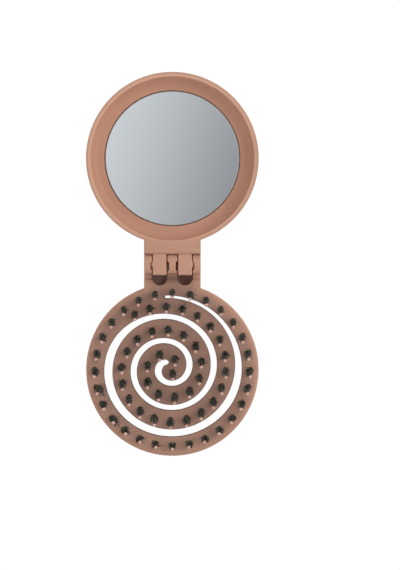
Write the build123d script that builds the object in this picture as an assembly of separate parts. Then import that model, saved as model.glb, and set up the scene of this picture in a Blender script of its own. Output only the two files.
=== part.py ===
from build123d import *

import os
from math import cos, exp, hypot, radians, sin, sqrt

# Folding hairbrush with mirror, opened flat and lying on its back.
# Millimetres, +Z up.  The mirror head lies towards +Y and the bristle head towards -Y.
# The origin is under the middle of the whole object, on the surface that it lies on.

# ---- The two heads -------------------------------------------------------------------
HEAD_RADIUS = 33.25           # outside of the mirror cup and of the bristle plate
HEAD_GAP = 15.0               # between the two heads, opened flat
PLATE_THICKNESS = 6.1
PLATE_FRONT_EDGE = 1.0        # chamfers round the plate
PLATE_BACK_EDGE = 0.8

# ---- Mirror cup and glass ------------------------------------------------------------
RIM_WIDTH = 1.75
RIM_OUTER_EDGE = 0.35
RIM_INNER_EDGE = 0.15
WALL_DRAFT = 0.2              # how much the cup narrows from rim to floor
CUP_FLOOR = 1.3
CUP_FLOOR_ROUND = 2.8
CUP_BACK_ROUND = 4.0
GLASS_RADIUS = 26.0
GLASS_THICKNESS = 1.3
GLASS_BEVEL = 0.25
GLASS_CLEARANCE = 0.2         # round the edge of the glass
GLASS_SINK = 0.5              # glass face below the ledge round it
ADHESIVE_MARGIN = 1.5         # edge of the adhesive inside the edge of the glass
ADHESIVE_THICKNESS = 0.3

# ---- Neck and hinge ------------------------------------------------------------------
AXIS_TO_PLATE = 3.4           # hinge axis above the front of the bristle plate
RIM_CLEARANCE = 0.1           # rim to bristle plate, closed
HINGE_FRONT = 2.2             # front of the neck, lugs and fingers above the axis
NECK_WIDTH = 21.8
NECK_EDGE = 0.4
NECK_SLOPE = 2.8              # length of the slope from the neck's front up to the rim
LUG_RADIUS = 3.65
LUG_CROWN = 5.2               # radius of the lugs' front
SEAM_EDGE = 0.5               # chamfer along the mirror neck's side of the seam
SEAM_CLEARANCE = 0.1          # lugs to the mirror neck
FINGER_WIDTH = 5.2
FINGER_SPACING = 9.8          # centre to centre
FINGER_CLEARANCE = 0.3        # finger to lug, each side
FINGER_REACH = 4.25           # axis to the square end of a finger
FINGER_EDGE = 0.3
POCKET_REACH = 8.2            # axis to the round end of a finger pocket
POCKET_FLOOR = 1.6            # plastic left under a finger pocket
RAMP_LENGTH = 2.75            # foot of the lugs, from lug to plate
RAMP_CLEARANCE = 0.1          # foot of the lugs to the mirror neck, closed
TRUNNION_RADIUS = 2.1
TRUNNION_LENGTH = 0.85
TRUNNION_CLEARANCE = 0.1
CHANNEL_LEAN = 20.0           # degrees that a snap-in channel leans away from the mirror
RELIEF_DEPTH = 0.7            # notches of the middle lug
RELIEF_WIDTH = 4.2
RELIEF_OFFSET = 0.8           # from the axis towards the bristles

# ---- Spiral slot, in polar form about its own centre ---------------------------------
SPIRAL_CENTRE = (-1.82, 0.62)           # from the centre of the plate
SPIRAL_START = -2.36                    # radius of the inner edge, carried back to angle 0
SPIRAL_INSET = 7.73                     # that edge from the edge of the plate, at TAIL_FROM
SLOT_WIDTH = 2.2
SLOT_SWELL = 0.2                        # wider at the left and right of a turn, narrower between
THROAT_DEPTH = 0.5                      # the slot's inner end widens towards the centre
THROAT_ANGLE = 200.0
THROAT_SPREAD = 60.0
HOOK_END = 180.0                        # angle where the hooked end meets the even slot
HOOK_OUTER = ((3.43, 107.0), (3.99, 137.0))
HOOK_TIP = (2.4, 79.0)
HOOK_INNER = ((1.37, 100.0), (1.55, 140.0))
OUTER_TURN_EXTRA = 0.75                 # the outer turn is this much wider
OUTER_TURN_FROM = 815.0
OUTER_TURN_TO = 890.0
TAIL_FROM = 1062.0                      # from here the slot narrows to its square end
TAIL_END = 1172.0
TAIL_WIDTH = 1.0
TAIL_INSET = 5.8                        # middle of the tail from the edge of the plate
TAIL_EASE = 1.8
SLOT_ARC = 40.0                         # its edges are arcs of about this many degrees

# ---- Bristle tufts, quills and staples -----------------------------------------------
RING_COUNT = 28
RING_INSET = 3.15                       # ring of holes from the edge of the plate
ARM_START = 841.0                       # angle of the spiral arm's first hole
ARM_END = 45.0                          # its last hole comes before this angle
ARM_STEP = 0.25                         # degrees in which the next hole is looked for
TUFT_PITCH = 6.25
CENTRE_TUFT = (0.1, -0.9)               # one more hole, from the centre of the plate
GROUP_SIZE = 7
HOLE_RADIUS = 1.0
HOLE_DEPTH = 4.5
HOLE_SIDES = 8
TUFT_LENGTH = 6.7                       # above the plate
TUFT_FOOT_RADIUS = 0.6
TUFT_TIP_RADIUS = 1.5
TUFT_OFFSET = 0.2                       # a tuft stands this far behind its hole's centre
QUILL_LENGTH = 8.0                      # above the plate, with the ball
QUILL_RADIUS = 0.22
QUILL_OFFSET = -0.68
QUILL_LEAN = 2.0                        # hole's centre to ball, away from the mirror
BALL_RADIUS = 0.7
BRISTLE_GAP = 0.1                       # between a tuft's tip and its quill
CUP_GAP = 0.2                           # bristles to the closed cup
EJECTOR_MARKS = ((-29.7, 3.7), (-3.3, -30.2))  # from the centre of the plate
EJECTOR_RADIUS = 0.95
EJECTOR_DEPTH = 0.15
EJECTOR_SIDES = 12
STAPLE_LENGTH = 1.8
STAPLE_HEIGHT = 1.3
STAPLE_THICKNESS = 0.3
FACETS = 6                              # sides of a tuft or quill

# ---- Places that follow from them ----------------------------------------------------
MIRROR_Y = HEAD_RADIUS + HEAD_GAP / 2
BRUSH_Y = -MIRROR_Y
HINGE_Y = 0                             # midway, so that the heads meet when closed
AXIS_Z = PLATE_THICKNESS + AXIS_TO_PLATE
FRONT_Z = AXIS_Z + HINGE_FRONT
RIM_Z = AXIS_Z + AXIS_TO_PLATE - RIM_CLEARANCE
GLASS_Z = CUP_FLOOR + ADHESIVE_THICKNESS
LEDGE_Z = GLASS_Z + GLASS_THICKNESS + GLASS_SINK
SEAM_Y = HINGE_Y + LUG_RADIUS + SEAM_CLEARANCE
POCKET_WIDTH = FINGER_WIDTH + 2 * FINGER_CLEARANCE
CUP_INSIDE = HEAD_RADIUS - RIM_WIDTH - WALL_DRAFT
ADHESIVE_RADIUS = GLASS_RADIUS - ADHESIVE_MARGIN
RING_RADIUS = HEAD_RADIUS - RING_INSET
TAIL_RADIUS = HEAD_RADIUS - TAIL_INSET
SPIRAL_END = HEAD_RADIUS - SPIRAL_INSET     # radius of the slot's inner edge at TAIL_FROM
SPIRAL_PITCH = (SPIRAL_END - SPIRAL_START) * 360 / TAIL_FROM
ROUND_SHARE = 0.9                       # of a floor, at most, goes into its round corner
OVERLAP = 1.0                           # joined solids run this far into each other
TALL = 2 * RIM_Z                        # taller than anything that is cut


def corner(sketch, across, up):
    """The corner of a side-on sketch nearest to a point."""
    return sketch.vertices().sort_by_distance(Vector(across, 0, up))[0]


def turned(points):
    """A face in the XZ plane through points (radius, height)."""
    return make_face(Plane.XZ * Polyline(*points, close=True))


# ======================================================================================
# Mirror shell: cup, neck, two fingers with a trunnion each
# ======================================================================================
def cup():
    """The cup of the mirror head, turned about its own axis."""
    inside_rim = HEAD_RADIUS - RIM_WIDTH
    recess = GLASS_RADIUS + GLASS_CLEARANCE
    profile = turned([
        (0, 0),
        (HEAD_RADIUS, 0),
        (HEAD_RADIUS, RIM_Z),
        (inside_rim, RIM_Z),
        (CUP_INSIDE, LEDGE_Z),
        (recess, LEDGE_Z),
        (recess, CUP_FLOOR),
        (0, CUP_FLOOR),
    ])
    profile = fillet(corner(profile, HEAD_RADIUS, 0), CUP_BACK_ROUND)
    profile = chamfer(corner(profile, HEAD_RADIUS, RIM_Z), RIM_OUTER_EDGE)
    profile = chamfer(corner(profile, inside_rim, RIM_Z), RIM_INNER_EDGE)
    floor_round = min(CUP_FLOOR_ROUND, ROUND_SHARE * (CUP_INSIDE - recess))
    profile = fillet(corner(profile, CUP_INSIDE, LEDGE_Z), floor_round)
    return Pos(0, MIRROR_Y, 0) * revolve(profile, Axis.Z)


def mirror_neck():
    """The block from the seam to the cup, hollowed to the middle of the cup's wall."""
    length = MIRROR_Y - SEAM_Y
    block = Pos(0, SEAM_Y + length / 2, FRONT_Z / 2) * Box(NECK_WIDTH, length, FRONT_Z)
    block = chamfer(block.edges().filter_by(Axis.Y), NECK_EDGE)
    seam_edge = block.edges().group_by(Axis.Y)[0].sort_by(Axis.Z)[-1]
    block = chamfer(seam_edge, SEAM_EDGE)
    hollow = Cylinder(HEAD_RADIUS - RIM_WIDTH / 2, TALL)
    return block - Pos(0, MIRROR_Y, 0) * hollow


def neck_slope():
    """The slope that leads the neck's front up to the rim."""
    inner = HEAD_RADIUS - RIM_WIDTH / 2
    foot = HEAD_RADIUS + NECK_SLOPE
    section = turned([
        (inner, FRONT_Z - OVERLAP),
        (foot, FRONT_Z - OVERLAP),
        (foot, FRONT_Z),
        (HEAD_RADIUS - RIM_OUTER_EDGE, RIM_Z),
        (inner, RIM_Z),
    ])
    width = NECK_WIDTH - 2 * NECK_EDGE
    strip = Pos(0, -HEAD_RADIUS, RIM_Z / 2) * Box(width, HEAD_RADIUS, TALL)
    return Pos(0, MIRROR_Y, 0) * (revolve(section, Axis.Z) & strip)


def finger(side):
    """One hinge finger: flat front, square end, and its back rounded about the axis."""
    end = HINGE_Y - FINGER_REACH
    root = SEAM_Y + OVERLAP
    bottom = AXIS_Z - FINGER_REACH
    outline = [
        Line((root, FRONT_Z), (end, FRONT_Z)),
        Line((end, FRONT_Z), (end, AXIS_Z)),
        RadiusArc((end, AXIS_Z), (HINGE_Y, bottom), FINGER_REACH),
        Line((HINGE_Y, bottom), (root, bottom)),
        Line((root, bottom), (root, FRONT_Z)),
    ]
    face = make_face([Plane.YZ * edge for edge in outline])
    body = extrude(face, FINGER_WIDTH / 2, both=True)
    body = chamfer(body.edges().group_by(Axis.Z)[-1], FINGER_EDGE)
    middle = side * FINGER_SPACING / 2
    outer_face = middle + side * FINGER_WIDTH / 2
    return Pos(middle, 0, 0) * body + trunnion(outer_face, side, 0)


def trunnion(face_x, side, clearance):
    """A cone with 45 degree sides that stands outwards from a finger's outer face."""
    base = TRUNNION_RADIUS + clearance * sqrt(2)
    length = TRUNNION_LENGTH + clearance
    cone = Cone(base, base - length, length, align=(Align.CENTER, Align.CENTER, Align.MIN))
    root = Cylinder(base, OVERLAP, align=(Align.CENTER, Align.CENTER, Align.MAX))
    return Pos(face_x, HINGE_Y, AXIS_Z) * Rot(0, side * 90, 0) * (cone + root)


def mirror_shell():
    """Cup, neck and fingers, moulded as one."""
    return cup() + mirror_neck() + neck_slope() + finger(-1) + finger(1)


def mirror_glass():
    """Round glass with a small bevel round its face."""
    disc = Cylinder(GLASS_RADIUS, GLASS_THICKNESS, align=(Align.CENTER, Align.CENTER, Align.MIN))
    disc = chamfer(disc.edges().sort_by(Axis.Z)[-1], GLASS_BEVEL)
    return Pos(0, MIRROR_Y, GLASS_Z) * disc


def mirror_adhesive():
    """Double-sided disc that holds the glass."""
    size = (ADHESIVE_RADIUS, ADHESIVE_THICKNESS)
    disc = Cylinder(*size, align=(Align.CENTER, Align.CENTER, Align.MIN))
    return Pos(0, MIRROR_Y, CUP_FLOOR) * disc


# ======================================================================================
# Spiral slot
# ======================================================================================
def spiral_point(radius, angle):
    """A point from its radius and angle round the spiral's centre."""
    turn = radians(angle)
    return (SPIRAL_CENTRE[0] + radius * cos(turn), SPIRAL_CENTRE[1] + radius * sin(turn))


def eased(angle, start, end):
    """0 before start and 1 after end, with a smooth rise between them."""
    share = min(max((angle - start) / (end - start), 0), 1)
    return share * share * (3 - 2 * share)


def slot_edges(angle):
    """Radii of the slot's inner and outer edge at an angle."""
    line = SPIRAL_START + SPIRAL_PITCH * angle / 360
    throat = THROAT_DEPTH * exp(-((angle - THROAT_ANGLE) / THROAT_SPREAD) ** 2)
    width = SLOT_WIDTH + SLOT_SWELL * cos(radians(2 * angle))
    width += OUTER_TURN_EXTRA * eased(angle, OUTER_TURN_FROM, OUTER_TURN_TO)
    left = min(max((TAIL_END - angle) / (TAIL_END - TAIL_FROM), 0), 1)
    width = TAIL_WIDTH + (width - TAIL_WIDTH) * left ** TAIL_EASE
    middle = min(line + width / 2, TAIL_RADIUS)
    return middle - width / 2 - throat, middle + width / 2


def slot_face():
    """The slot's outline: a hooked inner end, three turns and a narrow square end."""
    arcs = round((TAIL_END - HOOK_END) / SLOT_ARC)
    half = (TAIL_END - HOOK_END) / (2 * arcs)
    angles = [HOOK_END + half * step for step in range(2 * arcs + 1)]
    tip = spiral_point(*HOOK_TIP)
    outline = []
    ends = []
    for edge, hook in enumerate((HOOK_INNER, HOOK_OUTER)):
        points = [spiral_point(slot_edges(angle)[edge], angle) for angle in angles]
        outline.append(Spline(tip, *(spiral_point(*place) for place in hook), points[0]))
        outline += [ThreePointArc(*points[at:at + 3]) for at in range(0, 2 * arcs, 2)]
        ends.append(points[-1])
    outline.append(Line(*ends))
    return make_face(outline)


# ======================================================================================
# Brush plate: disc, neck and three lugs
# ======================================================================================
def plate_disc():
    """The round plate with its edges eased."""
    profile = turned([
        (0, 0),
        (HEAD_RADIUS, 0),
        (HEAD_RADIUS, PLATE_THICKNESS),
        (0, PLATE_THICKNESS),
    ])
    profile = chamfer(corner(profile, HEAD_RADIUS, 0), PLATE_BACK_EDGE)
    profile = chamfer(corner(profile, HEAD_RADIUS, PLATE_THICKNESS), PLATE_FRONT_EDGE)
    return Pos(0, BRUSH_Y, 0) * revolve(profile, Axis.Z)


def lug_block():
    """Neck and lugs as one bar: crowned over the axis, with a curved foot down to the plate."""
    crown_drop = LUG_CROWN - HINGE_FRONT
    crown_rise = (LUG_CROWN ** 2 - LUG_RADIUS ** 2 - crown_drop ** 2) / (2 * crown_drop)
    crown_half = sqrt(LUG_RADIUS ** 2 - crown_rise ** 2)
    crown_ends = [(HINGE_Y + side * crown_half, AXIS_Z + crown_rise) for side in (1, -1)]
    front, back = HINGE_Y + LUG_RADIUS, HINGE_Y - LUG_RADIUS
    foot_top = AXIS_Z - HINGE_FRONT - RAMP_CLEARANCE
    foot_end = back - RAMP_LENGTH
    drop = foot_top - PLATE_THICKNESS
    foot_radius = (RAMP_LENGTH ** 2 + drop ** 2) / (2 * drop)
    inside = BRUSH_Y + sqrt(HEAD_RADIUS ** 2 - (NECK_WIDTH / 2) ** 2) - 2 * OVERLAP
    outline = [
        Line((front, 0), (front, AXIS_Z)),
        RadiusArc((front, AXIS_Z), crown_ends[0], -LUG_RADIUS),
        RadiusArc(*crown_ends, -LUG_CROWN),
        RadiusArc(crown_ends[1], (back, AXIS_Z), -LUG_RADIUS),
        Line((back, AXIS_Z), (back, foot_top)),
        RadiusArc((back, foot_top), (foot_end, PLATE_THICKNESS), -foot_radius),
        Line((foot_end, PLATE_THICKNESS), (inside, PLATE_THICKNESS)),
        Line((inside, PLATE_THICKNESS), (inside, 0)),
        Line((inside, 0), (front, 0)),
    ]
    face = make_face([Plane.YZ * edge for edge in outline])
    return extrude(face, NECK_WIDTH / 2, both=True)


def finger_pocket(side):
    """Room for a finger: open towards the mirror, with a half-round end in the plate."""
    centre_y = HINGE_Y - POCKET_REACH + POCKET_WIDTH / 2
    open_y = HINGE_Y + LUG_RADIUS + OVERLAP
    low = (Align.CENTER, Align.MIN, Align.MIN)
    bar = Box(POCKET_WIDTH, open_y - centre_y, TALL, align=low)
    end = Cylinder(POCKET_WIDTH / 2, TALL, align=(Align.CENTER, Align.CENTER, Align.MIN))
    return Pos(side * FINGER_SPACING / 2, centre_y, POCKET_FLOOR) * (bar + end)


def snap_channel(side):
    """Seat of a trunnion in a side lug, with a leaning way in from the front."""
    face_x = side * (FINGER_SPACING + FINGER_WIDTH) / 2
    clearance = TRUNNION_CLEARANCE
    base = TRUNNION_RADIUS + clearance * sqrt(2)
    depth = TRUNNION_LENGTH + clearance
    plan = make_face(Polyline(
        (face_x, HINGE_Y - base),
        (face_x + side * depth, HINGE_Y - base + depth),
        (face_x + side * depth, HINGE_Y + base - depth),
        (face_x, HINGE_Y + base),
        close=True,
    ))
    lean = radians(CHANNEL_LEAN)
    way_in = extrude(Pos(0, 0, AXIS_Z) * plan, 2 * LUG_RADIUS, dir=(0, -sin(lean), cos(lean)))
    return trunnion(face_x, side, clearance) + way_in


def relief_notch(side):
    """Notch in a side of the middle lug, where a finger springs aside as it is fitted."""
    face_x = side * ((FINGER_SPACING - FINGER_WIDTH) / 2 - FINGER_CLEARANCE)
    deep_x = face_x - side * RELIEF_DEPTH
    middle = HINGE_Y - RELIEF_OFFSET
    half = RELIEF_WIDTH / 2
    plan = make_face(Polyline(
        (face_x, middle - half),
        (deep_x, middle - half + RELIEF_DEPTH),
        (deep_x, middle + half - RELIEF_DEPTH),
        (face_x, middle + half),
        close=True,
    ))
    return extrude(Pos(0, 0, POCKET_FLOOR) * plan, TALL)


def brush_plate(holes):
    """Plate, neck and lugs, moulded as one, with the spiral slot and the bristle holes."""
    body = plate_disc() + lug_block()
    body -= [finger_pocket(side) for side in (-1, 1)]
    body -= [snap_channel(side) for side in (-1, 1)]
    body -= [relief_notch(side) for side in (-1, 1)]
    body -= extrude(Pos(0, BRUSH_Y, -OVERLAP) * slot_face(), TALL)
    section = RegularPolygon(HOLE_RADIUS, HOLE_SIDES, major_radius=False)
    bore = extrude(Pos(0, 0, PLATE_THICKNESS - HOLE_DEPTH) * section, HOLE_DEPTH + OVERLAP)
    body -= [Pos(x, y, 0) * bore for x, y in holes]
    stamp = RegularPolygon(EJECTOR_RADIUS, EJECTOR_SIDES)
    mark = extrude(Pos(0, 0, PLATE_THICKNESS - EJECTOR_DEPTH) * stamp, OVERLAP)
    body -= [Pos(x, BRUSH_Y + y, 0) * mark for x, y in EJECTOR_MARKS]
    return body


# ======================================================================================
# Bristles
# ======================================================================================
def ring_places():
    """Holes of the ring, from the one nearest to the hinge."""
    turns = [radians(90 + 360 * index / RING_COUNT) for index in range(RING_COUNT)]
    return [(RING_RADIUS * cos(turn), BRUSH_Y + RING_RADIUS * sin(turn)) for turn in turns]


def arm_radius(angle):
    """Radius of the middle of the spiral arm, between one turn of the slot and the next."""
    return (slot_edges(angle)[1] + slot_edges(angle + 360)[0]) / 2


def arm_point(angle):
    """A point on the middle of the spiral arm."""
    x, y = spiral_point(arm_radius(angle), angle)
    return x, BRUSH_Y + y


def arm_places():
    """Holes along the spiral arm, evenly stepped from its outer end, and one at the centre."""
    angle = ARM_START
    places = [arm_point(angle)]
    while angle > ARM_END:
        angle -= ARM_STEP
        x, y = arm_point(angle)
        last_x, last_y = places[-1]
        if hypot(x - last_x, y - last_y) >= TUFT_PITCH:
            places.append((x, y))
    places.append((CENTRE_TUFT[0], BRUSH_Y + CENTRE_TUFT[1]))
    return places


def kept_inside(x, y, reach):
    """The point itself, or where it meets a circle round the plate's centre."""
    distance = hypot(x, y - BRUSH_Y)
    if distance <= reach:
        return x, y
    return x * reach / distance, BRUSH_Y + (y - BRUSH_Y) * reach / distance


def faceted(sections):
    """A closed solid with flat sides through sections (x, y, z, radius), from foot to tip."""
    turns = [radians(360 * side / FACETS) for side in range(FACETS)]
    rings = [
        [Vector(x - radius * sin(turn), y + radius * cos(turn), z) for turn in turns]
        for x, y, z, radius in sections
    ]
    loops = [rings[0], rings[-1]]
    for low, high in zip(rings, rings[1:]):
        for side in range(FACETS):
            loops.append([low[side - 1], low[side], high[side], high[side - 1]])
    return Solid(Shell([Face(Wire.make_polygon(loop)) for loop in loops]))


def quill_tip(x, y):
    """Centre of a quill's ball: it leans away from the mirror but stays in the closed cup."""
    reach = CUP_INSIDE - BALL_RADIUS - CUP_GAP
    return kept_inside(x, y - QUILL_LEAN, reach)


def quill(x, y):
    """Nylon quill: upright in its hole, then leaning, with a ball on its tip."""
    foot_z = PLATE_THICKNESS - HOLE_DEPTH
    ball_z = PLATE_THICKNESS + QUILL_LENGTH - BALL_RADIUS
    tip_x, tip_y = quill_tip(x, y)
    return faceted([
        (x, y + QUILL_OFFSET, foot_z, QUILL_RADIUS),
        (x, y + QUILL_OFFSET, PLATE_THICKNESS, QUILL_RADIUS),
        (tip_x, tip_y, ball_z - BALL_RADIUS, QUILL_RADIUS),
        (tip_x, tip_y, ball_z, BALL_RADIUS),
        (tip_x, tip_y, ball_z + BALL_RADIUS, QUILL_RADIUS),
    ])


def tuft(x, y):
    """Bundle of bristles: upright in its hole, then flared towards its tip, beside its quill."""
    foot_z = PLATE_THICKNESS - HOLE_DEPTH + STAPLE_HEIGHT
    ball_x, ball_y = quill_tip(x, y)
    to_quill = QUILL_RADIUS + BRISTLE_GAP
    reach = CUP_INSIDE - TUFT_TIP_RADIUS - CUP_GAP
    tip_x, tip_y = kept_inside(ball_x, ball_y + TUFT_TIP_RADIUS + to_quill, reach)
    tip_radius = min(TUFT_TIP_RADIUS, hypot(tip_x - ball_x, tip_y - ball_y) - to_quill)
    root_y = y + TUFT_OFFSET
    return faceted([
        (x, root_y, foot_z, TUFT_FOOT_RADIUS),
        (x, root_y, PLATE_THICKNESS, TUFT_FOOT_RADIUS),
        (tip_x, tip_y, PLATE_THICKNESS + TUFT_LENGTH, tip_radius),
    ])


def staple(x, y):
    """Flat wire across the hole's floor that holds the tuft's foot."""
    foot_z = PLATE_THICKNESS - HOLE_DEPTH
    size = (STAPLE_LENGTH, STAPLE_THICKNESS, STAPLE_HEIGHT)
    wire = Box(*size, align=(Align.CENTER, Align.CENTER, Align.MIN))
    return Pos(x, y + TUFT_OFFSET, foot_z) * wire


def grouped(places):
    """Places in groups of GROUP_SIZE."""
    return [places[start:start + GROUP_SIZE] for start in range(0, len(places), GROUP_SIZE)]


def bristle_nodes(zone, places):
    """Nodes of a zone's tufts, quills and staples, one node of each kind for each group."""
    nodes = {}
    for number, group in enumerate(grouped(places), start=1):
        nodes[f"{zone}_tufts_{number}"] = Compound([tuft(x, y) for x, y in group])
        nodes[f"{zone}_quills_{number}"] = Compound([quill(x, y) for x, y in group])
        nodes[f"{zone}_staples_{number}"] = Compound([staple(x, y) for x, y in group])
    return nodes


def main():
    """Build every node and write it to its own file."""
    ring, arm = ring_places(), arm_places()
    nodes = {
        "mirror_shell": mirror_shell(),
        "mirror_glass": mirror_glass(),
        "mirror_adhesive": mirror_adhesive(),
        "brush_plate": brush_plate(ring + arm),
    }
    nodes.update(bristle_nodes("ring", ring))
    nodes.update(bristle_nodes("spiral", arm))
    os.makedirs("parts", exist_ok=True)
    for name, shape in nodes.items():
        export_step(shape, f"parts/{name}.step")


if __name__ == "__main__":
    main()
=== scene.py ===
"""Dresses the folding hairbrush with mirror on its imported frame.

Metres, +Z up, in the frame of the CAD model: the mirror head lies towards +Y, the bristle
head towards -Y, and the open brush lies on its back on the plane z = 0.
"""
from __future__ import annotations

import logging
import math
from dataclasses import dataclass
from enum import Enum
from typing import Any

import bmesh
import bpy
import numpy as np
from mathutils import Matrix, Vector


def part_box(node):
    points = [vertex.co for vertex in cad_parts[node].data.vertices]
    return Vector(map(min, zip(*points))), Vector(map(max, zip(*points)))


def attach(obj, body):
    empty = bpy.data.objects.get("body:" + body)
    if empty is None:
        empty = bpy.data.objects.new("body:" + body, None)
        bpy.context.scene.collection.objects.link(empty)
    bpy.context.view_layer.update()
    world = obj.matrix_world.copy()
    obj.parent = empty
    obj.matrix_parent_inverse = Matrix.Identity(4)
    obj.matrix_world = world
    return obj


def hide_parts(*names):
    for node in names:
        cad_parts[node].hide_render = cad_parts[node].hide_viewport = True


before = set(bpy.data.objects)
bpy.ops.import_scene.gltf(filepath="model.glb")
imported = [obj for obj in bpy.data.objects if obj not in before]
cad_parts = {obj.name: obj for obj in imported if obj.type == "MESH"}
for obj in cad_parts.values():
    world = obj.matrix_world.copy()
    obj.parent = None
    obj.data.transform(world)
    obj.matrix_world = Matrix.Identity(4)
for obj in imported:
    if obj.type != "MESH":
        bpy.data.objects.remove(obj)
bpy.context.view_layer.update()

LOG = logging.getLogger("folding_brush")
MM = 0.001
SEED = 41
PLATE_FRONT = 6.1 * MM  # height of the bristle plate's front
LEVEL = 0.02 * MM  # points this near in height are level
TONE = "tone"  # the mesh attribute with a strand's tone
WHITE = (1.0, 1.0, 1.0)
FULL = (-1.0, 1.0)
SMOOTH = {"interpolation_type": "SMOOTHSTEP"}
# The Mix node's sockets for colours.
MIX_FACTOR, MIX_LOW, MIX_HIGH, MIX_RESULT = 0, 6, 7, 2

Array = np.ndarray
Item = bpy.types.Object
Material = bpy.types.Material
Random = np.random.Generator
Socket = bpy.types.NodeSocket
Colour = tuple[float, float, float]
Spot = tuple[float, float]  # an (x, y)
Span = tuple[float, float]  # where something starts and is full


def mm(*lengths: float) -> tuple[float, ...]:
    """Millimetres as metres."""
    return tuple(length * MM for length in lengths)


# ---- Shader maths ----
@dataclass
class Value:
    """An output socket that carries one number. Arithmetic on it adds Math nodes to its graph."""

    graph: Graph
    socket: Socket

    def math(self, operation: str, *operands: Value | float) -> Value:
        """The result of a Math node with that operation and those operands."""
        inputs = dict(enumerate(operands))
        return self.graph.node("Math", {"operation": operation}, inputs).value()

    def __add__(self, other: Value | float) -> Value:
        """This plus the other."""
        return self.math("ADD", self, other)

    __radd__ = __add__

    def __sub__(self, other: Value | float) -> Value:
        """This less the other."""
        return self.math("SUBTRACT", self, other)

    def __rsub__(self, other: float) -> Value:
        """The other less this."""
        return self.math("SUBTRACT", other, self)

    def __mul__(self, other: Value | float) -> Value:
        """This times the other."""
        return self.math("MULTIPLY", self, other)

    __rmul__ = __mul__

    def rise(self, span: Span, base: float = 0.0, scale: float = 1.0) -> Value:
        """Rises smoothly from 0 to 1 as this goes over a span.

        Args:
            span: where the rise starts and ends, from the base and in units of the scale.
            base: what the span counts from.
            scale: its unit.

        Returns:
            The rise.
        """
        low, high = (base + scale * end for end in span)
        inputs = {"Value": self, "From Min": low, "From Max": high}
        return self.graph.node("MapRange", SMOOTH, inputs).value()

    def larger(self, other: Value | float) -> Value:
        """The larger of the two."""
        return self.math("MAXIMUM", self, other)

    def size(self) -> Value:
        """This without its sign."""
        return self.math("ABSOLUTE", self)

    def near(self, target: float, reach: float) -> Value:
        """1 where this is the target, falling smoothly to 0 at the reach on either side."""
        return 1 - (self - target).size().rise((0.0, reach))

    def beside(self, other: Value) -> Value:
        """The hypotenuse over this and the other."""
        squares = self * self + other * other
        return squares.math("SQRT", squares)


@dataclass
class Node:
    """A shader node with its graph."""

    graph: Graph
    node: bpy.types.Node

    def socket(self, name: str | int) -> Socket:
        """The output socket of that name or number."""
        return self.node.outputs[name]

    def value(self, name: str | int = 0) -> Value:
        """The same output as a value."""
        return Value(self.graph, self.socket(name))


class Graph:
    """The node graph of a material or of the world."""

    def __init__(self, owner: Material | bpy.types.World) -> None:
        """Takes the owner's graph and empties it."""
        owner.use_nodes = True
        self.tree = owner.node_tree
        self.tree.nodes.clear()

    @classmethod
    def of_material(cls, name: str) -> tuple[Material, Graph]:
        """A new material of that name, with its empty graph."""
        material = bpy.data.materials.new(name)
        return material, cls(material)

    def node(self, kind: str, settings: dict[str, Any] | None = None,
             inputs: dict[str | int, Any] | None = None) -> Node:
        """Adds a node.

        Args:
            kind: the node's type, less "ShaderNode".
            settings: its settings, set before its inputs.
            inputs: what goes into its sockets, by name or number: a node, a value, a
                socket or a plain setting.

        Returns:
            The new node.
        """
        made = self.tree.nodes.new(f"ShaderNode{kind}")
        for name, setting in (settings or {}).items():
            setattr(made, name, setting)
        for name, given in (inputs or {}).items():
            self._feed(made.inputs[name], given)
        return Node(self, made)

    def _feed(self, socket: Socket, given: Any) -> None:
        """Links or sets one input socket."""
        if isinstance(given, Node):
            given = given.socket(0)
        if isinstance(given, Value):
            given = given.socket
        if isinstance(given, Socket):
            self.tree.links.new(given, socket)
        else:
            socket.default_value = given

    def object_coordinates(self) -> Socket:
        """The piece's own coordinates, in metres."""
        return self.node("TexCoord").socket("Object")

    def place(self, centre: Spot) -> tuple[Value, Value, Value]:
        """X and Y of a point of the piece, counted from the centre, and its Z, in metres."""
        apart = self.node("SeparateXYZ", None, {0: self.object_coordinates()})
        return apart.value("X") - centre[0], apart.value("Y") - centre[1], apart.value("Z")

    def attribute(self, name: str) -> Value:
        """A number that the piece's mesh carries."""
        return self.node("Attribute", {"attribute_name": name}).value("Fac")

    def noise(self, scale: float, detail: float = 2.0, roughness: float = 0.5) -> Value:
        """Noise from 0 to 1, with about that many blobs to a metre."""
        inputs = {"Vector": self.object_coordinates(), "Scale": scale, "Detail": detail,
                  "Roughness": roughness}
        return self.node("TexNoise", None, inputs).value("Fac")

    def blend(self, factor: Value, low: Any, high: Any) -> Socket:
        """A colour between low and high.

        Args:
            factor: 0 gives low, 1 gives high.
            low: a colour, or a socket that carries one.
            high: the same.

        Returns:
            The socket with the mixed colour.
        """
        ends = [opaque(end) if isinstance(end, tuple) else end for end in (low, high)]
        inputs = {MIX_FACTOR: factor, MIX_LOW: ends[0], MIX_HIGH: ends[1]}
        mix = self.node("Mix", {"data_type": "RGBA", "clamp_factor": True}, inputs)
        return mix.socket(MIX_RESULT)

    def bump(self, height: Value, distance: float) -> Node:
        """Normals of a surface that stands up to that distance proud where height is 1."""
        inputs = {"Height": height, "Distance": distance, "Strength": 1.0}
        return self.node("Bump", None, inputs)

    def surface(self, shader: Node) -> None:
        """Makes a shader the material's surface."""
        self.node("OutputMaterial", None, {"Surface": shader})


def opaque(colour: Colour) -> tuple[float, float, float, float]:
    """A colour with full alpha."""
    return (*colour, 1.0)


def shaded(colour: Colour, factor: float) -> Colour:
    """A colour made lighter or darker."""
    return tuple(part * factor for part in colour)


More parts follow.
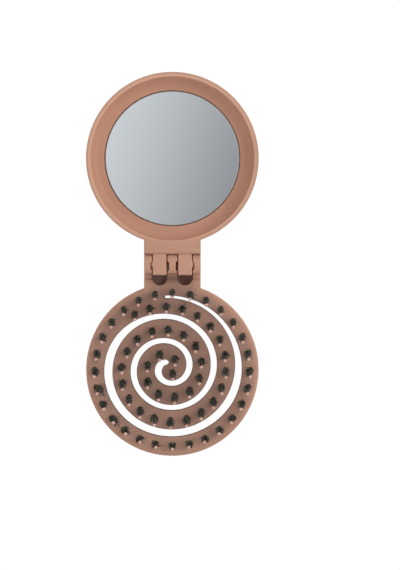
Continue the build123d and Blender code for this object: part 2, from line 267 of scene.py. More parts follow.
# ---- Finishes ----
@dataclass(frozen=True)
class Finish:
    """What a piece is made of: a material round one Principled shader."""

    name: str

    def material(self) -> Material:
        """Builds the material."""
        material, graph = Graph.of_material(self.name)
        graph.surface(graph.node("BsdfPrincipled", None, self.inputs(graph)))
        return material

    def inputs(self, graph: Graph) -> dict[str, Any]:
        """What goes into the shader's sockets, by name, with nodes added to the graph."""
        raise NotImplementedError


@dataclass(frozen=True)
class MouldedPlastic(Finish):
    """Satin injection-moulded plastic with a spark-eroded mould texture."""

    colour: Colour = (0.615, 0.331, 0.226)
    cloud: float = 0.04  # how much the colour varies
    flow: float = 55.0  # clouds to a metre
    cloud_span: Span = (0.3, 0.7)  # noise where a cloud starts and is full
    grain: float = 3200.0  # texture pits to a metre
    pit: float = 0.012 * MM  # depth of the pits
    roughness: float = 0.42
    rubs: float = 240.0  # patches of other roughness to a metre
    uneven: float = 0.1  # how much that varies

    def inputs(self, graph: Graph) -> dict[str, Any]:
        """The tint, a gloss that varies in patches, and the pits."""
        specks = graph.noise(self.grain, detail=1.0)
        rubbed = graph.noise(self.rubs, detail=4.0, roughness=0.6)
        return {
            "Base Color": self.tint(graph),
            "Roughness": self.roughness - self.uneven / 2 + self.uneven * rubbed,
            "Normal": graph.bump(specks, self.pit),
            "IOR": 1.45,
        }

    def tint(self, graph: Graph) -> Socket:
        """The plastic's colour, a little uneven as the melt flowed."""
        return self._flowed(graph, self.colour)

    def _flowed(self, graph: Graph, colour: Colour) -> Socket:
        """A colour that varies by the cloud in wide soft patches."""
        patches = graph.noise(self.flow, detail=3.0).rise(self.cloud_span)
        return graph.blend(patches, shaded(colour, 1 - self.cloud), shaded(colour, 1 + self.cloud))


@dataclass(frozen=True)
class CupPlastic(MouldedPlastic):
    """The same plastic, with a painted highlight round the cup's rim and along the fingers.

    A painted shade darkens the edge of its neck that the lugs meet. Heights count from the back,
    and all other lengths from the cup's centre.
    """

    # painted highlight colour, lighter on the lit side, round the rim and along the fingers
    painted_highlight: Colour = (0.765, 0.43, 0.296)
    # painted shade along the neck's edge by the lugs
    seam_shade: Colour = (0.27, 0.125, 0.085)
    centre: Spot = (0.0, 0.0)
    shade: float = 0.5  # share of the painted highlight on the side in shade
    rim: float = 31.65 * MM  # radius where it is palest
    within: Span = mm(-1.9, 0.0)  # from that, where the painted highlight starts
    outside: Span = mm(0.0, 1.5)  # the same, where it ends
    foot: Span = mm(1.2, 6.2)  # height where it starts and is full
    neck: Span = mm(29.0, 30.5)  # where the neck holds back the rim's painted highlight
    neck_height: Span = mm(8.0, 11.0)
    neck_side: Span = mm(6.0, 11.0)
    neck_share: float = 0.8
    fingers: tuple[float, float] = mm(2.45, 7.35)  # of the fingers' sides
    finger_edge: float = 0.45 * MM  # width of their painted highlight
    finger_share: float = 0.75
    finger_root: Span = mm(-37.8, -37.4)
    seam: float = -36.7 * MM  # y of the neck's edge by the lugs
    seam_reach: float = 0.75 * MM
    seam_height: Span = mm(8.0, 9.0)
    seam_share: float = 0.55

    def tint(self, graph: Graph) -> Socket:
        """The plastic's colour, with painted highlights and a painted shade along the seam."""
        across, along, height = graph.place(self.centre)
        out, aside = across.beside(along), across.size()
        lit = self.shade + (1 - self.shade) * (along - across).rise(FULL, 0.0, self.rim)
        rim = out.rise(self.within, self.rim) * (1 - out.rise(self.outside, self.rim))
        neck = (0 - along).rise(self.neck) * height.rise(self.neck_height)
        kept = self.neck_share * neck * (1 - aside.rise(self.neck_side))
        rim = rim * lit * height.rise(self.foot) * (1 - kept)
        sides = [aside.near(side, self.finger_edge) for side in self.fingers]
        finger = sides[0].larger(sides[1]) * (1 - along.rise(self.finger_root))
        # painted highlight on the rim and along the fingers' edges
        highlight_mask = rim.larger(self.finger_share * finger)
        painted_highlight = graph.blend(highlight_mask, self._flowed(graph, self.colour), self.painted_highlight)
        # painted shade in the crease along the seam
        seam = along.near(self.seam, self.seam_reach) * height.rise(self.seam_height)
        return graph.blend(self.seam_share * seam, painted_highlight, self.seam_shade)


@dataclass(frozen=True)
class PlasticWithPaintedShade(MouldedPlastic):
    """The same plastic, with painted shade darkening the field between the bristles.

    The plate's edge, its lugs and its back keep the plastic's own colour. The walls of the slot
    and of the finger pockets carry a painted shade darker than the field.
    """

    # colours of the field's painted shade, from the open part to the middle
    open_field: Colour = (0.515, 0.283, 0.2)
    middle: Colour = (0.405, 0.219, 0.155)
    dusk: Colour = (0.405, 0.235, 0.183)  # duller patches
    pale: Colour = (0.62, 0.345, 0.245)  # the far end, where the field's painted shade is lighter
    # painted shade on the walls of the slot and pockets, and at the lugs' foot
    wall: Colour = (0.18, 0.08, 0.06)
    # painted shade on the finger pockets' floors
    pocket_shade: Colour = (0.36, 0.205, 0.16)
    mark_ring: Colour = (0.36, 0.185, 0.135)  # darker rings round the ejector marks
    centre: Spot = (0.0, 0.0)
    front: float = 0.0  # height of the plate's front
    edge: float = 0.0  # radius of the plate
    neck: float = 0.0  # half the neck's width
    marks: tuple[Spot, ...] = (mm(-29.7, 3.7), mm(-3.3, -30.2))
    mark_radius: float = 0.95 * MM
    mark_line: float = 0.45 * MM  # half the width of a ring
    # in shares of the radius
    lit: Span = (-0.8, 0.7)
    lit_towards: Spot = (0.87, 0.5)
    opened: Span = (0.15, 0.85)  # to the open field's colour
    far: Span = (0.3, 0.95)
    far_towards: Spot = (-0.34, -0.94)
    near_hinge: Span = (0.7, 0.97)
    # in shares of half the neck's width
    inner_neck: Span = (0.55, 1.0)
    pocket_side: Span = (0.72, 0.78)
    # outwards from the plate's edge
    rim: Span = mm(-3.6, 0.0)
    lip: Span = mm(-1.5, -0.5)
    side: Span = mm(-0.7, -0.3)
    hinge: Span = mm(-9.0, -2.0)
    pocket_start: Span = mm(-4.0, -3.0)
    lug_start: Span = mm(3.2, 4.2)
    # a band of painted shade at the lugs' foot
    lug_foot: float = 1.5 * MM
    foot_reach: float = 2.6 * MM
    foot_middle: float = 1.5 * MM  # half the width of its darkest part
    # upwards from the plate's front
    lug_height: Span = mm(0.2, 3.0)
    side_height: Span = mm(-1.2, -0.6)
    wall_height: Span = mm(-0.12, -0.01)
    back_height: Span = mm(0.05, 0.5)  # from its back
    # outwards from a mark's radius
    mark_edge: Span = mm(0.05, 0.3)
    duller: Span = (0.38, 0.72)  # noise of the duller patches
    dullness: float = 150.0  # of them to a metre
    # how much of a colour is laid over the one before
    shade: float = 0.45  # of the edge's own, on the side in shade
    lip_share: float = 0.9
    field_share: float = 0.6
    ring_share: float = 0.85
    foot_share: float = 0.45

    def tint(self, graph: Graph) -> Socket:
        """The plastic's colour, and the field's painted shade where the bristles stand."""
        across, along, height = graph.place(self.centre)
        out, aside = across.beside(along), across.size()
        ring, disc = self._marks(across, along)
        lugs = height.rise(self.lug_height, self.front)
        at_lugs = along.rise(self.lug_start, self.edge)
        back = 1 - height.rise(self.back_height)
        # the walls below the front get painted shade
        below = (1 - height.rise(self.wall_height, self.front)) * (1 - disc)
        inner_neck = 1 - aside.rise(self.inner_neck, 0.0, self.neck)
        rim = self._rim(across, along, height, out)
        rim = rim * (1 - inner_neck * along.rise(self.hinge, self.edge))
        own = rim.larger(lugs).larger(back).larger(at_lugs)
        far = self._towards(self.far_towards, across, along).rise(self.far, 0.0, self.edge)
        near_hinge = along.rise(self.near_hinge, 0.0, self.edge)
        patches = graph.noise(self.dullness, roughness=0.45).rise(self.duller)
        # the field's painted shade: lighter in the open and towards the far end, darker near the
        # hinge, duller in random patches
        field: Any = self.middle
        for mask, colour in (
            (out.rise(self.opened, 0.0, self.edge), self._flowed(graph, self.open_field)),
            (self.field_share * far, self.pale),
            (self.field_share * near_hinge, self.middle),
            (self.field_share * patches, self.dusk),
            (self.ring_share * ring, self.mark_ring),
            (below, self.wall),
        ):
            field = graph.blend(mask, field, colour)
        tint = graph.blend(1 - own, self._flowed(graph, self.colour), field)
        # painted shade in a band at the lugs' foot, between the pockets
        foot = along.near(self.edge + self.lug_foot, self.foot_reach)
        foot = foot * (1 - aside.rise((self.foot_middle, self.neck))) * (1 - lugs)
        tint = graph.blend(self.foot_share * foot, tint, self.wall)
        # painted shade in the finger pockets
        pocket_shade = below * along.rise(self.pocket_start, self.edge) * (1 - back) * (1 - at_lugs)
        pocket_shade = pocket_shade * (1 - aside.rise(self.pocket_side, 0.0, self.neck))
        return graph.blend(pocket_shade, tint, self.pocket_shade)

    def _rim(self, across: Value, along: Value, height: Value, out: Value) -> Value:
        """1 on the plate's side and its lip, falling inwards, and faster on the side in shade."""
        lit = self._towards(self.lit_towards, across, along).rise(self.lit, 0.0, self.edge)
        rim = out.rise(self.rim, self.edge) * (self.shade + (1 - self.shade) * lit)
        rim = rim.larger(self.lip_share * out.rise(self.lip, self.edge))
        side = out.rise(self.side, self.edge) * (1 - height.rise(self.side_height, self.front))
        return rim.larger(side)

    @staticmethod
    def _towards(direction: Spot, across: Value, along: Value) -> Value:
        """How far a point lies in that direction."""
        return direction[0] * across + direction[1] * along

    def _marks(self, across: Value, along: Value) -> tuple[Value, Value]:
        """1 on the rings round the two ejector marks, and 1 within them."""
        out = [(across - x).beside(along - y) for x, y in self.marks]
        nearest = out[0].math("MINIMUM", *out)
        return (nearest.near(self.mark_radius, self.mark_line),
                1 - nearest.rise(self.mark_edge, self.mark_radius))


@dataclass(frozen=True)
class SilveredGlass(Finish):
    """Float glass silvered on its back, with a ground edge."""

    colour: Colour
    edge_colour: Colour
    radius: float
    centre: Spot
    edge: float  # width of the ground edge
    dull: Span = (-1.0, -0.6)  # where it dulls the glass, from the rim and in widths

    def inputs(self, graph: Graph) -> dict[str, Any]:
        """Bright silver, and dull glass within the ground edge."""
        across, along, _ = graph.place(self.centre)
        ground = across.beside(along).rise(self.dull, self.radius, self.edge)
        wiped = graph.noise(90.0, detail=4.0, roughness=0.6)
        return {
            "Base Color": graph.blend(ground, self.colour, self.edge_colour),
            "Metallic": 1.0 - 0.75 * ground,
            "Roughness": 0.008 + 0.014 * wiped + 0.3 * ground,
            "Coat Weight": 0.3,
            "Coat Roughness": 0.02,
        }


@dataclass(frozen=True)
class StrandFinish(Finish):
    """Bristle or nylon, with a tone of its own on each strand."""

    dark: Colour
    light: Colour
    roughness: float
    soft: float = 0.0  # weight of light scattered under the surface
    depth: Colour = mm(0.6, 0.3, 0.2)  # how deep red, green and blue go
    streaks: float = 1500.0  # to a metre
    streak_share: float = 0.2  # of the tone

    def inputs(self, graph: Graph) -> dict[str, Any]:
        """The tone that the mesh carries, under streaks."""
        streak = graph.noise(self.streaks)
        tone = (1 - self.streak_share) * graph.attribute(TONE) + self.streak_share * streak
        return {
            "Base Color": graph.blend(tone, self.dark, self.light),
            "Roughness": self.roughness + 0.12 * streak,
            "Normal": graph.bump(streak, 0.006 * MM),
            "Subsurface Weight": self.soft,
            "Subsurface Radius": self.depth,
            "Subsurface Scale": 1.0,
        }


@dataclass(frozen=True)
class StapleWire(Finish):
    """Drawn steel wire, flattened, with drawing marks."""

    colour: Colour
    marks: float = 6000.0  # to a metre

    def inputs(self, graph: Graph) -> dict[str, Any]:
        """Metal, duller in its marks."""
        marks = graph.noise(self.marks)
        return {
            "Base Color": graph.blend(marks, shaded(self.colour, 0.8), self.colour),
            "Metallic": 1.0,
            "Roughness": 0.22 + 0.2 * marks,
            "Normal": graph.bump(marks, 0.004 * MM),
        }


@dataclass(frozen=True)
class FoamTape(Finish):
    """Thin foam tape that holds the glass."""

    colour: Colour
    cells: float = 2600.0  # to a metre

    def inputs(self, graph: Graph) -> dict[str, Any]:
        """Fine open cells, with painted shade in their hollows."""
        where = {"Vector": graph.object_coordinates(), "Scale": self.cells}
        cells = graph.node("TexVoronoi", None, where).value("Distance")
        return {
            # painted shade towards each cell's hollow middle
            "Base Color": graph.blend(cells, shaded(self.colour, 0.75), self.colour),
            "Roughness": 0.9,
            "Normal": graph.bump(cells, 0.05 * MM),
        }


# ---- Surfaces ----
def added(name: str, data: bpy.types.ID) -> Item:
    """A new object with that data, in the scene."""
    made = bpy.data.objects.new(name, data)
    bpy.context.scene.collection.objects.link(made)
    return made


def stand_in(piece: Item, body: str, node: str) -> Item:
    """Puts a piece on a body in a CAD node's place, and hides the node."""
    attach(piece, body)
    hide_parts(node)
    return piece


def new_object(name: str, points: Array, faces: list[list[int]],
               material: Material, tones: Array | None = None) -> Item:
    """Makes a smooth-shaded piece at the origin.

    Args:
        name: the piece's name.
        points: its points, in metres, one row each.
        faces: point numbers of each face, anticlockwise from outside.
        material: its finish.
        tones: a number for each point, kept as its tone.

    Returns:
        The piece, in the scene.
    """
    mesh = bpy.data.meshes.new(name)
    mesh.from_pydata(points, [], faces)
    mesh.shade_smooth()
    mesh.materials.append(material)
    if tones is not None:
        mesh.attributes.new(TONE, "FLOAT", "POINT").data.foreach_set("value", tones)
    return added(name, mesh)


def tube_faces(count: int, rows: int, sides: int) -> list[list[int]]:
    """Faces of several tubes.

    Point (tube, row, side) has the number (tube * rows + row) * sides + side. Each pair of
    neighbouring rows is joined by a band of quads, and the first and last row of a tube are
    closed by one face each.

    Args:
        count: number of tubes.
        rows: rows of points along a tube.
        sides: points round a tube, anticlockwise seen from its last row.

    Returns:
        The faces as lists of point numbers.
    """
    number = np.arange(count * rows * sides).reshape(count, rows, sides)
    onward = np.roll(number, -1, axis=2)
    bands = np.stack([number[:, :-1], onward[:, :-1], onward[:, 1:], number[:, 1:]], axis=-1)
    ends = np.concatenate([number[:, 0, ::-1], number[:, -1]])
    return bands.reshape(-1, 4).tolist() + ends.tolist()


def tube_points(line: Array, radius: Array, sides: int) -> Array:
    """Points round several centre lines.

    A row's points lie on a circle about its centre, in the plane across the line there:
    centre + radius * (cos(a) * u + sin(a) * v), where u is the X axis less its part along
    the line, v is the line's direction crossed with u, and a goes round in even steps.

    Args:
        line: centres, of shape (tubes, rows, 3).
        radius: radii, of shape (tubes, rows).
        sides: points in a circle.

    Returns:
        The points, of shape (tubes * rows * sides, 3).
    """
    direction = np.gradient(line, axis=1)
    direction /= np.linalg.norm(direction, axis=2, keepdims=True)
    across = np.array([1.0, 0.0, 0.0]) - direction[..., :1] * direction
    across /= np.linalg.norm(across, axis=2, keepdims=True)
    beside = np.cross(direction, across)
    angle = np.linspace(0.0, 2.0 * np.pi, sides, endpoint=False)
    cosine, sine = np.cos(angle)[:, None], np.sin(angle)[:, None]
    circle = cosine * across[:, :, None] + sine * beside[:, :, None]
    return (line[:, :, None] + radius[:, :, None, None] * circle).reshape(-1, 3)


def revolved(profile: Array, centre: Array, sides: int) -> tuple[Array, list[list[int]]]:
    """A surface of revolution about a vertical axis, closed at both ends.

    Args:
        profile: (radius, height) of each row, from the lowest point on the axis's side
            outwards and up to the last.
        centre: (x, y) of the axis.
        sides: points in a turn.

    Returns:
        The points and the faces.
    """
    angle = np.linspace(0.0, 2.0 * np.pi, sides, endpoint=False)
    x = centre[0] + profile[:, :1] * np.cos(angle)
    y = centre[1] + profile[:, :1] * np.sin(angle)
    z = np.broadcast_to(profile[:, 1:], x.shape)
    return np.stack([x, y, z], axis=-1).reshape(-1, 3), tube_faces(1, len(profile), sides)


def read_mesh(parts: Any, name: str, width: int, kind: type = np.float64) -> Array:
    """Reads one property of all the parts of a mesh.

    Args:
        parts: the mesh's vertices, edges, loops or polygons.
        name: the property.
        width: how many numbers it has.
        kind: their type.

    Returns:
        One row for each part, or one number each where the width is 1.
    """
    flat = np.empty(width * len(parts), dtype=kind)
    parts.foreach_get(name, flat)
    return flat.reshape(-1, width) if width > 1 else flat


def separate_solids(node: str) -> list[Array]:
    """The points of each separate solid in a CAD node.

    Points that lie together to a thousandth of a millimetre count as one. Each takes the lowest
    label among the corners of its triangles until nothing changes, and points with the same
    label then belong to one solid.

    Args:
        node: the CAD node's name.

    Returns:
        One array of points for each solid, from left to right.
    """
    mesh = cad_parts[node].data
    mesh.calc_loop_triangles()
    points = read_mesh(mesh.vertices, "co", 3)
    corners = read_mesh(mesh.loop_triangles, "vertices", 3, np.int32)
    merged = np.unique(np.round(points / (0.001 * MM)), axis=0, return_inverse=True)[1].ravel()
    triangles = merged[corners]
    label, before = np.arange(merged.max() + 1), None
    while before is None or (label != before).any():
        before = label.copy()
        np.minimum.at(label, triangles.ravel(), np.repeat(before[triangles].min(axis=1), 3))
    solids = [points[label[merged] == one] for one in np.unique(label)]
    return sorted(solids, key=lambda solid: tuple(solid.mean(axis=0)))


# ---- Sub-assemblies ----
@dataclass
class Moulding:
    """A plastic moulding: the CAD node's shape with the small radii of a mould's edges."""

    node: str
    body: str
    slot: str
    finish: MouldedPlastic
    edge: float = 0.12 * MM  # width of the rounding
    lip: float = 0.34 * MM  # the same, round the top of a tall wall
    lip_height: float = math.inf  # least height of such a top
    tall: float = 5.0 * MM  # least height of such a wall
    sharp: float = math.radians(28.0)
    steps: int = 2  # faces across a rounding
    weld: float = 0.0005 * MM  # points this near become one
    flat: float = math.radians(0.4)  # faces this level become one

    def build(self) -> Item:
        """Copies the node's mesh, merges it, rounds its edges and puts it in the node's place.

        Returns:
            The dressed piece.
        """
        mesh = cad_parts[self.node].data.copy()
        self._merge(mesh)
        self._weigh_edges(mesh)
        mesh.materials.clear()
        mesh.materials.append(self.finish.material())
        piece = added(f"{self.node}_dressed", mesh)
        bevel = piece.modifiers.new("mould_radius", "BEVEL")
        bevel.limit_method = "WEIGHT"
        bevel.width = self.lip
        bevel.segments = self.steps
        bevel.use_clamp_overlap = False
        bevel.harden_normals = True
        return stand_in(piece, self.body, self.node)

    def _merge(self, mesh: bpy.types.Mesh) -> None:
        """Joins a CAD mesh's loose triangles, and flat stretches into single faces."""
        work = bmesh.new()
        work.from_mesh(mesh)
        bmesh.ops.remove_doubles(work, verts=work.verts, dist=self.weld)
        bmesh.ops.dissolve_limit(work, angle_limit=self.flat, verts=work.verts, edges=work.edges)
        work.to_mesh(mesh)
        work.free()
        mesh.shade_smooth()
        mesh.set_sharp_from_angle(angle=self.sharp)

    def _weigh_edges(self, mesh: bpy.types.Mesh) -> None:
        """Gives each edge its share of the lip's width.

        Take an edge between faces with the normals n and m, and its direction d as it goes
        anticlockwise round the first. It is rounded where n . m < cos(sharp) and it stands out,
        which is where d . (n x m) > 0. It takes edge / lip of the width, or all of it where both
        its ends lie above the lip height and the taller of its faces is taller than a tall wall.

        Args:
            mesh: the merged mesh.
        """
        points = read_mesh(mesh.vertices, "co", 3)
        ends = read_mesh(mesh.edges, "vertices", 2, np.int32)
        normal = read_mesh(mesh.polygons, "normal", 3)
        first = read_mesh(mesh.polygons, "loop_start", 1, np.int32)
        total = read_mesh(mesh.polygons, "loop_total", 1, np.int32)
        corner = points[read_mesh(mesh.loops, "vertex_index", 1, np.int32)]
        edge = read_mesh(mesh.loops, "edge_index", 1, np.int32)
        face = np.repeat(np.arange(len(total)), total)
        onward = np.arange(1, len(corner) + 1)
        onward[first + total - 1] = first
        rise = np.maximum.reduceat(corner[:, 2], first) - np.minimum.reduceat(corner[:, 2], first)
        one, other, wall = (np.full(len(ends), least) for least in (len(total), -1, 0.0))
        np.minimum.at(one, edge, face)
        np.maximum.at(other, edge, face)
        np.maximum.at(wall, edge, rise[face])
        direction = np.zeros((len(ends), 3))
        of_one = one[edge] == face
        direction[edge[of_one]] = (corner[onward] - corner)[of_one]
        n, m = normal[one], normal[other]
        rounded = (n * m).sum(axis=1) < math.cos(self.sharp)
        rounded &= (direction * np.cross(n, m)).sum(axis=1) > 0.0
        lip = (points[ends, 2].min(axis=1) > self.lip_height) & (wall > self.tall)
        share = np.where(lip, 1.0, self.edge / self.lip) * rounded
        mesh.attributes.new("bevel_weight_edge", "FLOAT", "EDGE").data.foreach_set("value", share)


@dataclass
class MirrorHead:
    """The cup with its neck and fingers, the glass in it and the tape behind the glass."""

    body: str = "mirror_head"
    edge: float = 0.09 * MM  # width of its edges' rounding
    glass_hub: float = 0.3  # radius of the glass's middle faces, in its own radii
    glass_back: float = 0.1 * MM  # width of the chamfer round its back
    glass_bevel: float = 0.25 * MM
    glass_ground: float = 1.7  # width of the ground edge, in bevels
    glass_sides: int = 192
    # the front edge's profile: inwards and downwards, in bevels
    glass_edge: tuple[Spot, ...] = ((0.0, 1.0), (0.3, 0.45), (0.6, 0.15), (1.0, 0.0), (1.6, 0.0))

    def build(self) -> list[Item]:
        """Builds the head's pieces."""
        low, high = (np.array(corner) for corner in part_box("mirror_glass"))
        plastic = CupPlastic("rose_plastic", centre=tuple((low + high)[:2] / 2))
        shell = Moulding("mirror_shell", self.body, "shell_plastic", plastic, self.edge).build()
        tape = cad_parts["mirror_adhesive"]
        tape.material_slots[0].material = FoamTape("foam_tape", (0.62, 0.6, 0.57)).material()
        return [shell, self._glass(low, high), tape]

    def _glass(self, low: Array, high: Array) -> Item:
        """The round mirror that fills a box: a disc with a ground bevel round its front edge."""
        centre, radius = (low + high)[:2] / 2, (high - low)[0] / 2
        bevel, back, front = self.glass_bevel, low[2], high[2]
        profile = np.array([
            (self.glass_hub * radius, back), (radius - self.glass_back, back),
            (radius, back + self.glass_back),
            *((radius - inward * bevel, front - down * bevel) for inward, down in self.glass_edge),
            (self.glass_hub * radius, front),
        ])
        finish = SilveredGlass("silvered_glass", (0.80, 0.82, 0.84), (0.40, 0.37, 0.34),
                               radius, tuple(centre), self.glass_ground * bevel)
        glass = new_object("mirror_glass_silvered", *revolved(profile, centre, self.glass_sides),
                           finish.material())
        return stand_in(glass, self.body, "mirror_glass")


@dataclass(frozen=True)
class Splayed:
    """A tuft that has been bent over."""

    place: Spot  # of its tip, from the plate's centre
    push: Spot  # furthest that a hair is pushed
    share: float  # of its hairs


SPLAYED = (
    Splayed(mm(-29.3, -6.7), mm(2.6, -1.6), 0.75),
    Splayed(mm(-23.5, -18.8), mm(2.4, -2.6), 0.35),
    Splayed(mm(-18.8, -23.5), mm(0.7, -1.5), 0.5),
    Splayed(mm(-13.1, -27.1), mm(0.8, -1.6), 0.5),
    Splayed(mm(-6.7, -29.3), mm(0.4, -1.6), 0.6),
    Splayed(mm(21.0, -9.0), mm(2.0, -0.6), 0.2),
    Splayed(mm(-13.5, 11.0), mm(-2.4, -1.6), 0.12),
    Splayed(mm(6.5, 29.3), mm(1.8, -1.8), 0.25),
)


@dataclass
class BrushHead:
    """The slotted plate with its tufts, quills and staples. Places count from its centre."""

    body: str = "brush_head"
    hairs: int = 110  # in a tuft
    hair_radius: float = 0.12 * MM
    hair_sizes: Span = (0.8, 1.15)  # thinnest and thickest hair, in radii
    hair_rows: tuple[float, ...] = (0.0, 0.3, 0.65, 1.0)  # of the way from plate to tip
    hair_taper: tuple[float, ...] = (1.0, 1.0, 1.0, 0.98, 0.88)  # at the foot and at each row
    hair_bow: float = 0.35 * MM  # how far a hair bends
    hair_reach: float = 31.15 * MM  # of the tips, for the closed cup
    hinge_reach: float = 30.6 * MM  # of the tips, towards the hinge
    blow: float = 1.28  # width of a tuft's tip, in CAD tips
    blow_range: Span = (0.82, 1.14)  # of single hairs, in shares of that
    pinch: float = 0.9  # a tuft's width in X, in widths in Y
    strays: float = 0.07  # share of hairs that stick out
    stray_range: Span = (0.3, 0.9)  # how far, in CAD tips
    uneven: float = 0.7 * MM  # how much shorter a hair may be
    dome: float = 0.6 * MM  # how much shorter the outermost hairs are
    bent_near: float = 3.0 * MM  # from a bent tuft's place to its tip
    bent_turn: float = 0.4  # deviation of its hairs, in radians
    bent_lean: float = 0.35  # how far they sink, in pushes
    droop: float = 1.0 * MM  # how far tips and balls hang towards -Y
    droop_start: float = 32.0 * MM  # y where that starts
    droop_run: float = 50.0 * MM  # length over which it grows
    droop_edge: float = 27.0 * MM  # radius where it fades out
    droop_fade: float = 1.0 * MM  # length over which it ends
    hair_sides: int = 3
    pin_radius: float = 0.24 * MM
    ball_radius: float = 0.65 * MM
    ball_reach: float = 29.6 * MM  # of the balls, unless the CAD's go further
    ball_turns: Span = (0.16, 0.965)  # first and last row, in half turns from below
    ball_rows: int = 9
    pin_sides: int = 12
    pin_flare: float = 1.25  # width of a pin's foot, in pins
    groups: tuple[tuple[str, int], ...] = (("ring", 4), ("spiral", 5))
    neck_width: float = 21.8 * MM

    def build(self) -> list[Item]:
        """Builds the head's pieces."""
        plate = Moulding("brush_plate", self.body, "plate_plastic", self._plastic(),
                         lip_height=PLATE_FRONT - 0.01 * MM)
        pieces = [plate.build()]
        bristle = StrandFinish("boar_bristle", (0.06, 0.058, 0.048), (0.28, 0.265, 0.22), 0.42)
        nylon = StrandFinish("pink_nylon", (0.66, 0.38, 0.29), (0.82, 0.55, 0.46), 0.38, soft=0.15)
        wire = StapleWire("staple_wire", (0.6, 0.58, 0.54)).material()
        hair_material, pin_material = bristle.material(), nylon.material()
        rng = np.random.default_rng(SEED)
        for zone, count in self.groups:
            for number in range(1, count + 1):
                pieces.append(self._tufts(f"{zone}_tufts_{number}", hair_material, rng))
                pieces.append(self._pins(f"{zone}_quills_{number}", pin_material, rng))
                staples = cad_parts[f"{zone}_staples_{number}"]
                staples.material_slots[0].material = wire
                pieces.append(staples)
        return pieces

    def _plastic(self) -> PlasticWithPaintedShade:
        """The plate's finish, measured from the plate's box."""
        low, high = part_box("brush_plate")
        edge = (high[0] - low[0]) / 2
        return PlasticWithPaintedShade("rose_plastic_painted_shade", centre=(0.0, low[1] + edge), edge=edge,
                            front=PLATE_FRONT, neck=self.neck_width / 2)

    def _tufts(self, node: str, material: Material, rng: Random) -> Item:
        """The hairs of one node's tufts.

        A hair starts at a random place on the tuft's foot, keeps it up to the plate, and
        then goes to the same place, blown up, on the tuft's tip. On the way from plate to tip
        it leaves the straight line by its bow times 2 * t * (1 - t).

        Args:
            node: the CAD node whose solids are the tufts.
            material: the hairs' finish.
            rng: gives the random draws.

        Returns:
            The piece.
        """
        tufts = (self._tuft_lines(solid, rng) for solid in separate_solids(node))
        lines, radii = zip(*tufts)
        line, radius = np.concatenate(lines), np.concatenate(radii)
        return self._place(node, material, line, radius, self.hair_sides, rng)

    def _tuft_lines(self, solid: Array, rng: Random) -> tuple[Array, Array]:
        """Centre lines and radii of one tuft's hairs.

        A hair that would stand out past the reach is drawn back to it, so that the closed cup
        and the lugs stay clear.

        Args:
            solid: the points of the tuft's CAD solid.
            rng: gives the random draws.

        Returns:
            Centre lines of shape (hairs, rows, 3), and radii of shape (hairs, rows).
        """
        foot, root, tip = self._sections(solid)
        count = self.hairs
        angle = rng.random(count) * 2 * np.pi
        out = np.sqrt(rng.random(count))
        place = np.stack([np.cos(angle) * out, np.sin(angle) * out, np.zeros(count)], axis=1)
        start = foot[0] + place * (foot[1] - self.hair_radius)
        middle = root[0] + place * (root[1] - self.hair_radius)
        spread = self.blow * rng.uniform(*self.blow_range, (count, 1))
        strays = rng.random((count, 1)) < self.strays
        spread += strays * rng.uniform(*self.stray_range, (count, 1))
        end = tip[0] + place * spread * tip[1] * [self.pinch, 1.0, 1.0] + self._splay(tip[0], rng)
        end[:, 2] -= rng.uniform(0.0, self.uneven, count) + self.dome * out ** 2
        end[:, :2] = self._drawn_in(self._drooped(end[:, :2]), self.hair_reach)
        t = np.array(self.hair_rows)[None, :, None]
        bow = rng.normal(0.0, 1.0, (count, 1, 3)) * [1.0, 1.0, 0.0] * self.hair_bow
        free = middle[:, None] + (end - middle)[:, None] * t + bow * 2 * t * (1 - t)
        line = np.concatenate([start[:, None], free], axis=1)
        radius = self.hair_radius * rng.uniform(*self.hair_sizes, (count, 1)) * self.hair_taper
        return line, radius

    def _splay(self, tip: Array, rng: Random) -> Array:
        """How far each hair of a bent-over tuft is pushed aside.

        A hair's push is a random part of the tuft's own, turned by a random angle about the
        vertical, and the hair sinks by the lean times the way.
        """
        push = np.zeros((self.hairs, 3))
        centre = self._plate_centre()
        for bent in SPLAYED:
            if math.hypot(*(tip[:2] - centre - np.array(bent.place))) < self.bent_near:
                along = rng.random((self.hairs, 1)) * (rng.random((self.hairs, 1)) < bent.share)
                turn = rng.normal(0.0, self.bent_turn, (self.hairs, 1))
                aside = np.array((-bent.push[1], bent.push[0]))
                push[:, :2] = along * (np.cos(turn) * np.array(bent.push) + np.sin(turn) * aside)
                push[:, 2:] = -self.bent_lean * along * math.hypot(*bent.push)
        return push

    def _drooped(self, ends: Array) -> Array:
        """Tips (x, y) moved towards -Y by the droop.

        The droop grows evenly over its run, away from the hinge, and fades out at the far part
        of the plate's edge, where the closed cup leaves no room for it.
        """
        off = ends - self._plate_centre()
        away = np.clip((self.droop_start - off[:, 1:]) / self.droop_run, 0.0, 1.0)
        outside = np.linalg.norm(off, axis=1, keepdims=True) - self.droop_edge
        outside = np.clip(outside / self.droop_fade, 0.0, 1.0)
        far = np.clip(-off[:, 1:] / self.droop_edge, 0.0, 1.0)
        return ends - self.droop * away * (1.0 - outside * far) * [0.0, 1.0]

    def _drawn_in(self, ends: Array, reach: Array | float) -> Array:
        """Tips (x, y), brought back within reach of the plate's centre.

        A tip at the distance d from the centre keeps its direction and moves to the smaller of
        d and the reach; then its y is limited to the hinge reach.

        Args:
            ends: the tips.
            reach: the greatest distance, or one for each tip as a column.

        Returns:
            The tips in their new places.
        """
        centre = self._plate_centre()
        off = ends - centre
        distance = np.linalg.norm(off, axis=1, keepdims=True)
        off *= np.minimum(distance, reach) / np.maximum(distance, 1e-9)
        off[:, 1] = np.minimum(off[:, 1], self.hinge_reach)
        return centre + off

    @staticmethod
    def _plate_centre() -> Array:
        """The (x, y) of the plate's centre: half a width above its lowest y."""
        low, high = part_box("brush_plate")
        return np.array([(low[0] + high[0]) / 2, low[1] + (high[0] - low[0]) / 2])

